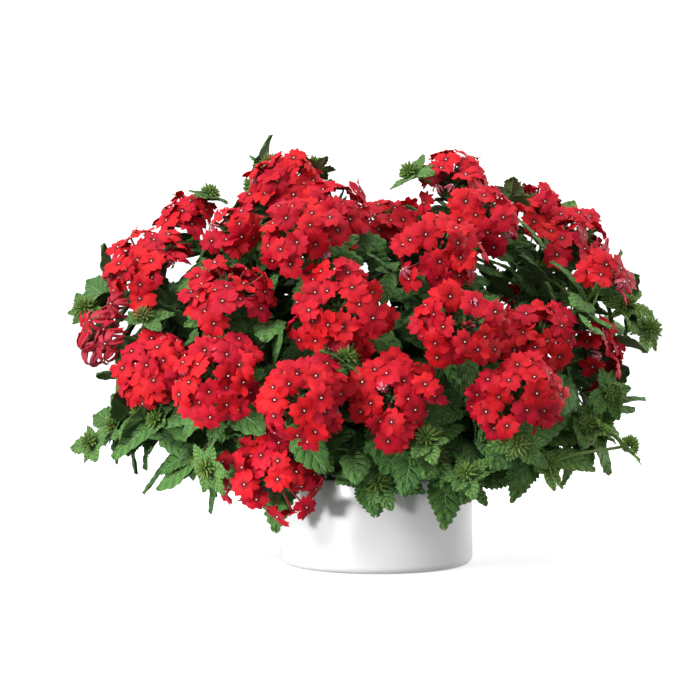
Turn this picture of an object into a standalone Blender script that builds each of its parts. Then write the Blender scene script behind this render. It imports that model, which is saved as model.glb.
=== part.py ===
"""A red garden verbena in a low white pot.

The pot is a turned shell filled with soil. Leafy stems stand in plain holes in the soil, arch out
over the rim and carry toothed leaves in opposite pairs. Most stems end in domed flower heads, each
a core covered with five-petalled florets. +Z is up and -Y is the front. The origin is the middle
of the pot's underside.
"""

import math
import random

import bmesh
import bpy
import numpy as np
from mathutils import Matrix, Vector

MM = 0.001
UP = Vector((0, 0, 1))

# Driving dimensions, in metres
POT_RADIUS = 65 * MM
POT_HEIGHT = 61 * MM
POT_WALL = 3.5 * MM
POT_FLOOR = 4.2 * MM
POT_BEVEL = 5 * MM
POT_SIDES = 32
SOIL_TOP = 52 * MM
SOIL_CROWN = 3 * MM
STEM_RADIUS = 1.7 * MM
STEM_STEP = 38 * MM
ROOT_DEPTH = 12 * MM
FIT_GAP = 0.3 * MM
LEAF_LENGTH = 46 * MM
FIRST_LEAF = 10 * MM
LEAF_SPACING = 23 * MM
LEAF_THICKNESS = 1.4 * MM
LARGE_LEAF = 48 * MM
SMALL_LEAF = 36 * MM
BUD_RADIUS = 5.5 * MM

# Flower heads: the middle of the dome in millimetres, its radius, the way it faces in plan
# (0 the front, 90 the right) and its tilt above the horizon, in degrees
HEADS = {
    "head_01": (-65, -8, 259, 28, -25, 58),
    "head_02": (-26, -44, 240, 26, 10, 50),
    "head_03": (-50, -94, 221, 27, -10, 25),
    "head_04": (-129, 2, 237, 21, -60, 75),
    "head_05": (-95, -60, 225, 21, -25, 40),
    "head_06": (-154, -48, 204, 31, -50, 55),
    "head_07": (-94, -102, 187, 29, 0, 66),
    "head_08": (-23, -120, 174, 33, 0, 20),
    "head_09": (-182, -60, 157, 20, -75, 10),
    "head_10": (-146, -88, 135, 27, -30, 15),
    "head_11": (-102, -132, 132, 29, -10, 12),
    "head_12": (-47, -152, 121, 28, 0, 8),
    "head_13": (-68, -113, 69, 32, -10, -6),
    "head_14": (8, -130, 119, 30, 0, 5),
    "head_15": (8, -8, 232, 19, 0, 55),
    "head_16": (54, 0, 258, 28, 15, 55),
    "head_17": (74, -56, 234, 24, 30, 35),
    "head_18": (38, -97, 210, 28, 0, 20),
    "head_19": (50, -132, 164, 28, 5, 10),
    "head_20": (108, 27, 243, 21, -30, 60),
    "head_21": (138, -14, 219, 28, 55, 35),
    "head_22": (152, -54, 195, 17, 40, 40),
    "head_23": (103, -83, 158, 27, 15, 32),
    "head_24": (147, -50, 144, 22, 60, 20),
    "head_25": (88, -127, 121, 29, 10, 8),
    "head_26": (-78, 78, 224, 27, 150, 50),
    "head_27": (22, 84, 224, 28, 175, 45),
    "head_28": (-146, 56, 164, 27, -120, 30),
    "head_29": (-66, 130, 152, 28, 165, 20),
    "head_30": (116, 88, 168, 28, 130, 30),
    "head_31": (28, 140, 132, 28, 180, 12),
}

# Shoots: where each stands in the soil, in millimetres from the pot's axis, and what its stems end
# in, which is a flower head or the place of a green tip, in millimetres
SHOOTS = {
    "shoot_01": ((-14, 2), ["head_01", "head_04", (-84, 22, 254)]),
    "shoot_02": ((-2, -8), ["head_02", "head_03"]),
    "shoot_03": ((-24, -8), ["head_05", "head_07"]),
    "shoot_04": ((-36, -2), ["head_06", "head_09", "head_10"]),
    "shoot_05": ((-30, -20), ["head_11", (-38, -98, 86)]),
    "shoot_06": ((-10, -22), ["head_08", "head_12"]),
    "shoot_07": ((8, -24), ["head_14", (36, -100, 82)]),
    "shoot_08": ((6, 2), ["head_16", "head_15"]),
    "shoot_09": ((16, -12), ["head_18", "head_17"]),
    "shoot_10": ((28, -22), ["head_19", "head_25"]),
    "shoot_11": ((22, 2), ["head_20", "head_21", (174, 8, 168)]),
    "shoot_12": ((38, -6), ["head_23", "head_24", "head_22"]),
    "shoot_13": ((-50, -12), [(-172, -48, 96), (-114, -78, 78), (-142, -76, 102)]),
    "shoot_14": ((50, -16), [(148, -48, 98), (108, -84, 74), (132, -26, 84)]),
    "shoot_15": ((-10, 18), ["head_26", "head_29"]),
    "shoot_16": ((10, 18), ["head_27", "head_31"]),
    "shoot_17": ((-32, 12), ["head_28", (-144, 46, 96)]),
    "shoot_18": ((34, 12), ["head_30", (152, 44, 110)]),
    "shoot_19": ((-36, -36), ["head_13"]),
    "shoot_20": ((-12, -44), [(0, -96, 64), (26, -112, 90)]),
    "shoot_21": ((18, -44), [(60, -94, 64), (88, -104, 90)]),
    "shoot_22": ((-6, 44), [(-16, 98, 74)]),
    "shoot_23": ((-50, 8), [(-184, -6, 174)]),
}


def clear_scene():
    for item in list(bpy.data.objects):
        bpy.data.objects.remove(item)


def finish(name, colour, roughness):
    """A plain material for one kind of surface."""
    material = bpy.data.materials.new(name)
    material.use_nodes = True
    shader = material.node_tree.nodes["Principled BSDF"]
    shader.inputs["Base Color"].default_value = (*colour, 1)
    shader.inputs["Roughness"].default_value = roughness
    return material


def add_object(name, mesh, material, collection):
    piece = bpy.data.objects.new(name, mesh)
    collection.objects.link(piece)
    if material and not mesh.materials:
        mesh.materials.append(material)
    return piece


def mesh_from(name, build):
    """A mesh that build(bm) fills, with its faces turned out."""
    bm = bmesh.new()
    build(bm)
    bmesh.ops.recalc_face_normals(bm, faces=bm.faces)
    mesh = bpy.data.meshes.new(name)
    bm.to_mesh(mesh)
    bm.free()
    return mesh


def applied(piece):
    """The piece, with its modifiers worked out into its mesh."""
    graph = bpy.context.evaluated_depsgraph_get()
    mesh = bpy.data.meshes.new_from_object(piece.evaluated_get(graph))
    piece.modifiers.clear()
    piece.data = mesh
    return piece


def combine(piece, others, operation):
    """Joins the other objects to the piece, or cuts them from it, in one Boolean, and removes them."""
    operands = bpy.data.collections.new("operands")
    bpy.context.scene.collection.children.link(operands)
    for other in others:
        operands.objects.link(other)
    boolean = piece.modifiers.new(operation.title(), "BOOLEAN")
    boolean.operation = operation
    boolean.solver = "EXACT"
    boolean.operand_type = "COLLECTION"
    boolean.collection = operands
    applied(piece)
    for other in others:
        bpy.data.objects.remove(other)
    bpy.data.collections.remove(operands)
    return piece


# The pot and the soil


def turned(name, profile, sides, material, collection):
    """A solid or shell of revolution. The profile runs down its outer side, as (radius, height)."""
    mesh = bpy.data.meshes.new(name)
    rim = [(radius, 0, height) for radius, height in profile]
    mesh.from_pydata(rim, [(i, i + 1) for i in range(len(rim) - 1)], [])
    piece = add_object(name, mesh, material, collection)
    screw = piece.modifiers.new("Turn", "SCREW")
    screw.steps = sides
    screw.render_steps = sides
    screw.use_merge_vertices = True
    screw.merge_threshold = 0.01 * MM
    return piece


def make_pot(material, collection):
    inner = POT_RADIUS - POT_WALL
    lip = 0.3 * POT_WALL
    profile = [
        (0, POT_FLOOR),
        (inner, POT_FLOOR),
        (inner, POT_HEIGHT - lip),
        (inner + lip, POT_HEIGHT),
        (POT_RADIUS - lip, POT_HEIGHT),
        (POT_RADIUS, POT_HEIGHT - lip),
        (POT_RADIUS, POT_BEVEL),
        (POT_RADIUS - 0.3 * POT_BEVEL, 0.3 * POT_BEVEL),
        (POT_RADIUS - POT_BEVEL, 0),
        (0, 0),
    ]
    return turned("pot", profile, POT_SIDES, material, collection)


def make_soil(material, collection):
    radius = POT_RADIUS - POT_WALL - FIT_GAP
    profile = [
        (0, SOIL_TOP + SOIL_CROWN),
        (0.7 * radius, SOIL_TOP + 0.8 * SOIL_CROWN),
        (radius, SOIL_TOP),
        (radius, POT_FLOOR + FIT_GAP),
        (0, POT_FLOOR + FIT_GAP),
    ]
    soil = applied(turned("soil", profile, POT_SIDES // 2, material, collection))
    depth = ROOT_DEPTH + 2 * SOIL_CROWN
    hole_radius = (STEM_RADIUS + FIT_GAP) * math.sqrt(2)
    holes = []
    for (x, y), _ in SHOOTS.values():
        middle = Vector((x * MM, y * MM, SOIL_TOP - ROOT_DEPTH - FIT_GAP + depth / 2))

        def hole(bm):
            bmesh.ops.create_cone(
                bm,
                cap_ends=True,
                segments=4,
                radius1=hole_radius,
                radius2=hole_radius,
                depth=depth,
                matrix=Matrix.Translation(middle),
            )

        holes.append(add_object("hole", mesh_from("hole", hole), None, collection))
    return combine(soil, holes, "DIFFERENCE")


# The flower heads

# Florets round the top one, their size and how far round they lean, for heads up to each radius
HEAD_KINDS = (
    (23 * MM, 4, 0.54, math.radians(62)),
    (32.5 * MM, 5, 0.475, math.radians(61)),
    (40 * MM, 6, 0.42, math.radians(61)),
)
FLORET_LIFT = 0.9
FLORET_DEPTH = 0.63
# The dome's middle lies this share of its radius before the middle of its sphere
DOME_RISE = 0.45
CORE_LOW, CORE_HIGH = -0.08, 0.6
CORE_WIDE, CORE_NARROW = 0.66, 0.38


def facing(turn, tilt):
    """The way that a turn from the front and a tilt above the horizon point, in degrees."""
    turn, tilt = math.radians(turn), math.radians(tilt)
    return Vector(
        (math.sin(turn) * math.cos(tilt), -math.cos(turn) * math.cos(tilt), math.sin(tilt))
    )


def head_frame(name):
    """(centre of the dome's sphere, axis, radius) of a flower head."""
    x, y, z, radius, turn, tilt = HEADS[name]
    axis = facing(turn, tilt)
    return Vector((x, y, z)) * MM - axis * DOME_RISE * radius * MM, axis, radius * MM


def along(axis, roll=0.0):
    """The rotation that carries +Z to the axis, after a turn about it."""
    turned_to = axis.to_track_quat("Z", "Y").to_matrix().to_4x4()
    return turned_to @ Matrix.Rotation(roll, 4, "Z")


def build_floret(bm, size, depth, place):
    """A five-petalled floret facing +Z on a five-sided tube that reaches down to depth.

    Each petal is a wedge that widens to a blunt tip. The disc is highest at the eye and thins to
    its edge.
    """
    eye = bm.verts.new((0, 0, 0.13 * size))
    fifth = 2 * math.pi / 5
    rim, foot = [], []
    for petal in range(5):
        for turn, reach in ((-0.5, 0.42), (-0.27, 0.98), (0.27, 0.98)):
            angle = (petal + turn) * fifth
            point = Vector((math.cos(angle), math.sin(angle), 0)) * reach * size
            rim.append(bm.verts.new(point))
        angle = (petal - 0.5) * fifth
        point = Vector((math.cos(angle), math.sin(angle), 0)) * 0.13 * size
        foot.append(bm.verts.new(point - UP * depth))
    for i in range(15):
        bm.faces.new((eye, rim[i], rim[(i + 1) % 15]))
    for petal in range(5):
        valley, left, right = rim[3 * petal : 3 * petal + 3]
        following = rim[(3 * petal + 3) % 15]
        bm.faces.new((valley, following, right, left))
        bm.faces.new((valley, foot[petal], foot[(petal + 1) % 5], following))
    bm.faces.new(foot[::-1])
    bmesh.ops.transform(bm, matrix=place, verts=bm.verts)


def make_head_mesh(around, size, polar, seed, material, collection):
    """The mesh of a flower head of radius 1: a core with one floret on top and others around it."""
    spin = random.Random(seed)

    def core(bm):
        bmesh.ops.create_cone(
            bm,
            cap_ends=True,
            segments=around,
            radius1=CORE_WIDE,
            radius2=CORE_NARROW,
            depth=CORE_HIGH - CORE_LOW,
            matrix=Matrix.Translation((0, 0, (CORE_HIGH + CORE_LOW) / 2)),
        )

    head = add_object("head", mesh_from("head", core), material, collection)
    axes = [UP]
    for i in range(around):
        turn = 2 * math.pi * (i + 0.5) / around
        lean = polar + math.radians(spin.uniform(-3, 3))
        outward = Vector((math.cos(turn), math.sin(turn), 0))
        axes.append(outward * math.sin(lean) + UP * math.cos(lean))
    florets = []
    for axis in axes:
        place = Matrix.Translation(axis * FLORET_LIFT) @ along(axis, spin.uniform(0, 2 * math.pi))
        mesh = mesh_from("floret", lambda bm: build_floret(bm, size, FLORET_DEPTH, place))
        florets.append(add_object("floret", mesh, material, collection))
    mesh = combine(head, florets, "UNION").data
    bpy.data.objects.remove(head)
    return mesh


def make_heads(material, collection):
    """Every head on its stem. The small heads carry fewer florets, of about the same size."""
    meshes = {
        kind[0]: [make_head_mesh(*kind[1:], seed, material, collection) for seed in (1, 2)]
        for kind in HEAD_KINDS
    }
    for i, name in enumerate(HEADS):
        centre, axis, radius = head_frame(name)
        kind = next(limit for limit in meshes if radius <= limit)
        head = add_object(name, meshes[kind][i % 2], material, collection)
        head.matrix_world = (
            Matrix.Translation(centre) @ along(axis, 2.4 * i) @ Matrix.Scale(radius, 4)
        )


# The plan of stems and leaves

BRANCH_FROM, BRANCH_STEP = 0.42, 0.14


def arc(start, leave, end, arrive, step):
    """Points about a step apart, and closer at the end, on the curve that leaves start and arrives
    at end in these directions."""
    reach = (end - start).length
    handles = start, start + leave * 0.42 * reach, end - arrive * 0.38 * reach, end
    count = max(3, round(1.1 * reach / step) + 1)
    points = []
    for i in range(count):
        t = 1 - (1 - i / (count - 1)) ** 1.3
        a, b, c, d = (1 - t) ** 3, 3 * t * (1 - t) ** 2, 3 * t * t * (1 - t), t**3
        points.append(handles[0] * a + handles[1] * b + handles[2] * c + handles[3] * d)
    return points


def stem_end(tip):
    """(end point, direction) of a stem that carries this flower head, or ends in a bud here."""
    if isinstance(tip, str):
        centre, axis, radius = head_frame(tip)
        return centre + axis * (CORE_LOW * radius - 2 * FIT_GAP), axis
    end = Vector(tip) * MM
    outward = Vector((end.x, end.y, 0)).normalized()
    return end, (outward - 0.25 * UP).normalized()


def plan_stems(step):
    """{shoot: its stems, each a list of points}.

    The first stem stands in the soil, and the others branch from it.
    """
    plan = {}
    for name, ((x, y), tips) in SHOOTS.items():
        root = Vector((x, y, 0)) * MM + UP * (SOIL_TOP - ROOT_DEPTH)
        collar = Vector((x, y, 0)) * MM + UP * (SOIL_TOP + SOIL_CROWN + 1 * MM)
        end, arrive = stem_end(tips[0])
        leave = (UP + 0.3 * Vector((x, y, 0)).normalized()).normalized()
        fine = arc(collar, leave, end, arrive, step / 8)
        stems = [[root, *arc(collar, leave, end, arrive, step)]]
        for i, tip in enumerate(tips[1:]):
            at = round(len(fine) * (BRANCH_FROM + BRANCH_STEP * i))
            start = fine[at]
            rising = (fine[at + 1] - fine[at - 1]).normalized()
            end, arrive = stem_end(tip)
            leave = (rising + (end - start).normalized()).normalized()
            stems.append(arc(start, leave, end, arrive, step))
        plan[name] = stems
    return plan


def leaf_shape(length, arch, fold):
    """The height of a leaf's upper face above its root, as a function of place along and across."""
    return lambda x, y: -arch * length * (x / length) ** 2 + fold * abs(y)


def leaf_half_width(t):
    """Half of a leaf's width as a share of its length, at the share t of the way to its tip."""
    return 0.29 * math.sin(math.pi * max(0.0, min(1.0, t)) ** 0.85) ** 0.9


def blade_points(place, length, shape):
    """Points spread over a leaf's blade, in the world, for telling whether it lies clear."""
    points = []
    for i in range(1, 8):
        t = 0.12 + 0.88 * i / 7
        for across in (-0.9, -0.45, 0, 0.45, 0.9):
            x, y = t * length, across * leaf_half_width(t) * length
            points.append(place @ Vector((x, y, shape(x, y))))
    return np.array(points)


def leaf_place(root, out, face):
    """The matrix that lays a leaf along out from root, with its upper side towards face."""
    out = out.normalized()
    face = (face - out * face.dot(out)).normalized()
    side = face.cross(out)
    turned_to = Matrix((out, side, face)).transposed().to_4x4()
    return Matrix.Translation(root) @ turned_to


# How far a leaf keeps from the leaves and stems of other shoots, its own shoot's leaves, the heads
# and the pot, and the turns about the stem and the sizes that are tried for it in order
CLEAR_OF_LEAF = 5.2 * MM
CLEAR_OF_OWN = 3.4 * MM
CLEAR_OF_STEM = 4.6 * MM
CLEAR_OF_HEAD = 2.0 * MM
CLEAR_OF_POT = 3.0 * MM
LOWEST_LEAF = 12 * MM
TRIES = [(swung, shorter) for shorter in (1, 0.8, 0.62) for swung in (0, 0.5, -0.5, 1, -1)]


def in_shade(points):
    """Whether a leaf lies in the dark middle of the plant, where none stay green."""
    x, y, z = points.mean(axis=0) / MM
    return (x / 100) ** 2 + (y / 74) ** 2 + ((z - 130) / 92) ** 2 < 1 and z > 90


def near(points, others, reach):
    if len(others) == 0:
        return False
    gaps = points[:, None, :] - others[None, :, :]
    return bool(((gaps**2).sum(axis=2) < reach**2).any())


def in_head(points):
    for name in HEADS:
        centre, axis, radius = head_frame(name)
        from_centre = points - np.array(centre)
        height = from_centre @ np.array(axis)
        close = (from_centre**2).sum(axis=1) < (radius + CLEAR_OF_HEAD) ** 2
        if bool((close & (height > -0.15 * radius - CLEAR_OF_HEAD)).any()):
            return True
    return False


def in_pot(points):
    radius = np.hypot(points[:, 0], points[:, 1])
    low = points[:, 2] < POT_HEIGHT + CLEAR_OF_POT
    return bool(((radius < POT_RADIUS + CLEAR_OF_POT) & low).any())


def plan_leaves(stems):
    """{shoot: its leaves, each (place, length, arch, fold)}.

    They grow in opposite pairs up each stem, every pair at right angles to the last. A leaf is
    swung aside or shortened until it lies clear of the other shoots, the flower heads and the pot,
    and is left out where none of that clears it.
    """
    dice = random.Random(7)
    stem_points = {
        name: np.array([p for points in arcs for p in dense(points)]) for name, arcs in stems.items()
    }
    leaf_points = {name: np.zeros((0, 3)) for name in stems}
    plan = {name: [] for name in stems}
    for name, arcs in stems.items():
        stems_near = np.concatenate([p for other, p in stem_points.items() if other != name])
        leaves_near = np.concatenate([p for other, p in leaf_points.items() if other != name])

        def clear(blade):
            return (
                blade[:, 2].min() > LOWEST_LEAF
                and not in_pot(blade)
                and not in_shade(blade)
                and not in_head(blade)
                and not near(blade, stems_near, CLEAR_OF_STEM)
                and not near(blade, leaves_near, CLEAR_OF_LEAF)
                and not near(blade, leaf_points[name], CLEAR_OF_OWN)
            )

        for root, rising, swing, length in leaf_starts(arcs, SHOOTS[name][1], dice):
            arch, fold = dice.uniform(0.1, 0.34), dice.uniform(0.1, 0.3)
            for swung, shorter in TRIES:
                place = leaf_turned(root, rising, swing + swung)
                size = length * shorter
                blade = blade_points(place, size, leaf_shape(size, arch, fold))
                if clear(blade):
                    plan[name].append((place, size, arch, fold))
                    leaf_points[name] = np.concatenate([leaf_points[name], blade])
                    break
    return plan


def leaf_starts(arcs, tips, dice):
    """(root, rising direction, swing, length) of each leaf that a shoot's stems would carry.

    The pairs start below a stem's end, and the leaves grow larger down it. A green tip has four
    pairs, a flowering stem two and its branches one.
    """
    for points, tip in zip(arcs, tips):
        pairs = 4 if not isinstance(tip, str) else 2 if points is arcs[0] else 1
        line = dense(points, 1 * MM)
        for pair in range(pairs):
            back = round((FIRST_LEAF + LEAF_SPACING * pair) / MM)
            if back > 0.62 * len(line):
                break
            at = len(line) - 1 - back
            rising = (line[at + 1] - line[at - 1]).normalized()
            for side in (0, 1):
                swing = math.pi * side + math.pi / 2 * (pair % 2) + dice.uniform(-0.3, 0.3)
                length = LEAF_LENGTH * dice.uniform(0.92, 1.1) * (0.72 + 0.45 * pair / pairs)
                yield line[at], rising, swing, length


def dense(points, gap=2.5 * MM):
    """Points no more than a gap apart along the straight runs between these."""
    found = []
    for a, b in zip(points, points[1:]):
        count = max(1, math.ceil((b - a).length / gap))
        found += [a.lerp(b, i / count) for i in range(count)]
    return [*found, points[-1]]


def leaf_turned(root, rising, swing):
    """Where a leaf lies that leaves the stem at this swing round it."""
    across = rising.cross(UP)
    across = across.normalized() if across.length > 1e-3 else Vector((1, 0, 0))
    out = Matrix.Rotation(swing, 3, rising) @ across
    outward = Vector((root.x, root.y, 0)).normalized()
    out = out * 0.85 + rising * 0.35 + outward * 0.2
    return leaf_place(root, out, UP * 0.9 + outward * 0.7 + rising * 0.3)


# The stems and leaves as solids

LEAF_BASE = -0.008
STALK = 2.6 * MM
RIB_AT = (0.38, 0.7)


def leaf_outline(teeth, stalk):
    """Half of a leaf's toothed edge, as (along, across) shares of its length, base to tip."""
    edge = []
    for tooth in range(teeth):
        low = 0.15 + 0.8 * tooth / teeth
        tip = 0.15 + 0.8 * (tooth + 0.8) / teeth
        edge.append((stalk, 0.55 * stalk) if tooth == 0 else (low, 0.8 * leaf_half_width(low)))
        edge.append((tip, leaf_half_width(tip) + 0.012))
    return edge


def make_leaf(place, length, arch, fold, collection):
    """A toothed leaf: a thin blade, thickest along its rib, with its root behind the stem's axis.

    Each half is a row of fans, one from each point along the rib out to the edge.
    """
    teeth = 4 if length > LARGE_LEAF else 3 if length > SMALL_LEAF else 2
    stalk = STALK / length
    edge = leaf_outline(teeth, stalk)
    rib_at = [1.2 * stalk, *RIB_AT[: teeth - 2]]
    shape = leaf_shape(length, arch, fold)

    def blade(bm):
        def corner(x, y, drop=0.0):
            x, y = x * length, y * length
            return bm.verts.new(place @ Vector((x, y, shape(x, y) - drop)))

        base, tip = corner(LEAF_BASE, 0), corner(1, 0)
        tops = [corner(x, 0) for x in rib_at]
        bottoms = [corner(x, 0, LEAF_THICKNESS) for x in rib_at]
        for side in (1, -1):
            rim = [base, *(corner(x, side * y) for x, y in edge), tip]
            for rib, way in ((tops, side), (bottoms, -side)):
                held = 0
                for i in range(len(rim) - 1):
                    bm.faces.new((rib[held], rim[i], rim[i + 1])[::-way])
                    if i % 2 == 0 and i > 0 and held < len(rib) - 1:
                        bm.faces.new((rib[held], rim[i + 1], rib[held + 1])[::-way])
                        held += 1

    return add_object("leaf", mesh_from("leaf", blade), None, collection)


def make_stem(name, points, thick, collection):
    """A four-sided stem through these points, which narrows towards its end."""
    curve = bpy.data.curves.new(name, "CURVE")
    curve.dimensions = "3D"
    curve.bevel_depth = STEM_RADIUS
    curve.bevel_resolution = 0
    curve.use_fill_caps = True
    spline = curve.splines.new("POLY")
    spline.points.add(len(points) - 1)
    for i, point in enumerate(points):
        spline.points[i].co = (*point, 1)
        spline.points[i].radius = thick * (1 - 0.25 * i / (len(points) - 1))
    guide = bpy.data.objects.new(name, curve)
    collection.objects.link(guide)
    graph = bpy.context.evaluated_depsgraph_get()
    mesh = bpy.data.meshes.new_from_object(guide.evaluated_get(graph))
    bpy.data.objects.remove(guide)
    bm = bmesh.new()
    bm.from_mesh(mesh)
    bmesh.ops.remove_doubles(bm, verts=bm.verts, dist=0.01 * MM)
    bmesh.ops.recalc_face_normals(bm, faces=bm.faces)
    bm.to_mesh(mesh)
    bm.free()
    return add_object(name, mesh, None, collection)


def make_bud(end, collection):
    """The green bud at the end of a stem that isn't in flower yet."""

    def bud(bm):
        place = Matrix.Translation(end)
        bmesh.ops.create_icosphere(bm, subdivisions=1, radius=BUD_RADIUS, matrix=place)

    return add_object("bud", mesh_from("bud", bud), None, collection)


def make_shoots(material, collection):
    stems = plan_stems(STEM_STEP)
    leaves = plan_leaves(stems)
    for name, arcs in stems.items():
        shoot = make_stem(name, arcs[0], 1.0, collection)
        shoot.data.materials.append(material)
        others = [make_stem("branch", points, 0.85, collection) for points in arcs[1:]]
        for tip, points in zip(SHOOTS[name][1], arcs):
            if not isinstance(tip, str):
                others.append(make_bud(points[-1], collection))
        others += [make_leaf(*leaf, collection) for leaf in leaves[name]]
        combine(shoot, others, "UNION")


def main():
    clear_scene()
    collection = bpy.data.collections.new("potted_verbena")
    bpy.context.scene.collection.children.link(collection)
    make_pot(finish("white_glaze", (0.86, 0.86, 0.86), 0.3), collection)
    make_soil(finish("potting_soil", (0.05, 0.035, 0.025), 0.95), collection)
    make_heads(finish("red_petals", (0.75, 0.02, 0.03), 0.55), collection)
    make_shoots(finish("green_leaves", (0.09, 0.22, 0.05), 0.6), collection)


main()
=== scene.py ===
"""A red garden verbena in its low white pot, in full flower: how the part looks."""

import math
import random

import bpy
import numpy as np
from mathutils import Matrix, Vector


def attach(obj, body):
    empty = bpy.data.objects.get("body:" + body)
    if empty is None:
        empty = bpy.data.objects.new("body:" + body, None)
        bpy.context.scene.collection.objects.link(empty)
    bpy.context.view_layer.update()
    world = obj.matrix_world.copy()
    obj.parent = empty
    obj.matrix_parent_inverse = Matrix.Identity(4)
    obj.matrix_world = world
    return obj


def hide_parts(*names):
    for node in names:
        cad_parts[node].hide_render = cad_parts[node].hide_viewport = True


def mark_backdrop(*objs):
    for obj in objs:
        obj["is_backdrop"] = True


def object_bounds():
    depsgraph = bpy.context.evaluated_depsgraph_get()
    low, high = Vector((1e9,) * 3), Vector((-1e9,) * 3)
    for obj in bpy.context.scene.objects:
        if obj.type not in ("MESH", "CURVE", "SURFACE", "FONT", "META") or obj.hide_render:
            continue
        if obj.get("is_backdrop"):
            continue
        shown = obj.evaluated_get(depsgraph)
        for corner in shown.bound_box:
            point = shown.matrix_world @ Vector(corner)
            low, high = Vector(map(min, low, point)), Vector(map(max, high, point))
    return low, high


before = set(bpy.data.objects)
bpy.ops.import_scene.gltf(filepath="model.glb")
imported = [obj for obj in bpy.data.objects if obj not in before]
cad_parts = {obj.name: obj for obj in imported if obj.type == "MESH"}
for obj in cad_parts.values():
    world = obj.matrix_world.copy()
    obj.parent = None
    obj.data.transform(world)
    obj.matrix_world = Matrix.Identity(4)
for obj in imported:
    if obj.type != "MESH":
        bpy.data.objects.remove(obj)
cad_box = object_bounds()
bpy.ops.object.select_all(action="DESELECT")

# The pot: a low, straight-sided cylinder of white earthenware under a satin glaze. It is thrown in
# one piece, with a rounded foot and a plain rounded rim, and it stands on the floor by itself.

MM = 0.001
UP = Vector((0, 0, 1))
POT_RADIUS = 65 * MM
POT_HEIGHT = 61 * MM
POT_WALL = 3.5 * MM
POT_FLOOR = 4.2 * MM
POT_FOOT = 5 * MM
POT_FLAT = 0.6 * POT_RADIUS
POT_CORNER = 4 * MM
POT_SIDES = 128
WALL_RINGS = 6
SMOOTH_UNDER = math.radians(40)
GLAZE_WHITE = (0.84, 0.84, 0.845)
GLAZE_SHADE = (0.80, 0.80, 0.80)


class Wire:
    """A shader socket, so that a material's sums read as sums."""

    def __init__(self, finish, socket):
        self.finish = finish
        self.socket = socket

    def sum(self, operation, first, second=0.0):
        return self.finish.node("ShaderNodeMath", {"operation": operation}, {0: first, 1: second})

    def __add__(self, other):
        return self.sum("ADD", self, other)

    def __radd__(self, other):
        return self.sum("ADD", other, self)

    def __sub__(self, other):
        return self.sum("SUBTRACT", self, other)

    def __rsub__(self, other):
        return self.sum("SUBTRACT", other, self)

    def __mul__(self, other):
        return self.sum("MULTIPLY", self, other)

    def __rmul__(self, other):
        return self.sum("MULTIPLY", other, self)

    def __abs__(self):
        return self.sum("ABSOLUTE", self)


class Finish:
    """A material and the nodes that make it."""

    def __init__(self, name, **settings):
        self.material = bpy.data.materials.new(name)
        self.material.use_nodes = True
        self.tree = self.material.node_tree
        self.shader = self.tree.nodes["Principled BSDF"]
        self.put(self.shader, settings)

    def put(self, node, values):
        for name, value in values.items():
            socket = node.inputs[name.replace("_", " ") if isinstance(name, str) else name]
            if isinstance(value, Wire):
                self.tree.links.new(value.socket, socket)
            elif isinstance(value, tuple) and socket.type == "RGBA":
                socket.default_value = (*value, 1)
            else:
                socket.default_value = value

    def node(self, kind, settings, values, output=0):
        made = self.tree.nodes.new(kind)
        for name, value in settings.items():
            setattr(made, name, value)
        self.put(made, values)
        return Wire(self, made.outputs[output])

    def wear(self, **values):
        self.put(self.shader, values)

    def place(self):
        return self.node("ShaderNodeTexCoord", {}, {}, "Object")

    def pattern(self):
        """(along, across) of a piece's own pattern, each from 0 to 1."""
        uv = self.node("ShaderNodeUVMap", {"uv_map": "pattern"}, {})
        split = {"Vector": uv}
        return [self.node("ShaderNodeSeparateXYZ", {}, split, axis) for axis in ("X", "Y")]

    def tint(self, channel):
        colour = self.node("ShaderNodeAttribute", {"attribute_name": "tint"}, {}, "Color")
        return self.node("ShaderNodeSeparateColor", {}, {"Color": colour}, channel)

    def noise(self, scale, detail=2.0, vector=None):
        values = {"Vector": vector or self.place(), "Scale": scale, "Detail": detail}
        return self.node("ShaderNodeTexNoise", {}, values)

    def step(self, value, low, high):
        """0 where the value is under low and 1 where it is over high, smooth between."""
        values = {"Value": value, "From Min": low, "From Max": high}
        return self.node("ShaderNodeMapRange", {"interpolation_type": "SMOOTHSTEP"}, values)

    def mix(self, share, first, second):
        values = {0: share, 6: first, 7: second}
        return self.node("ShaderNodeMix", {"data_type": "RGBA"}, values, 2)

    def layers(self, colour, *coats):
        """A colour under coats of others, each (share, colour)."""
        for share, coat in coats:
            colour = self.mix(share, colour, coat)
        return colour

    def bump(self, height, distance, strength=1.0):
        values = {"Height": height, "Distance": distance, "Strength": strength}
        self.put(self.shader, {"Normal": self.node("ShaderNodeBump", {}, values)})


def turned(name, profile, sides):
    """A ring that is drawn through a profile of (radius, height), with both ends closed."""
    bpy.ops.object.select_all(action="DESELECT")
    (radius, height), *rest = profile
    bpy.ops.mesh.primitive_circle_add(vertices=sides, radius=radius, fill_type="TRIFAN")
    piece = bpy.context.object
    piece.name = name
    piece.data.transform(Matrix.Translation((0, 0, height)))
    bpy.ops.object.mode_set(mode="EDIT")
    bpy.ops.mesh.select_all(action="SELECT")
    bpy.ops.mesh.region_to_loop()
    for next_radius, next_height in rest:
        bpy.ops.mesh.extrude_edges_move(
            TRANSFORM_OT_translate={"value": (0, 0, next_height - height)}
        )
        share = next_radius / radius
        bpy.ops.transform.resize(value=(share, share, 1), center_override=(0, 0, next_height))
        radius, height = next_radius, next_height
    bpy.ops.mesh.extrude_edges_move()
    bpy.ops.mesh.merge(type="CENTER")
    bpy.ops.mesh.select_all(action="SELECT")
    bpy.ops.mesh.normals_make_consistent(inside=False)
    bpy.ops.object.mode_set(mode="OBJECT")
    return piece


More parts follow.
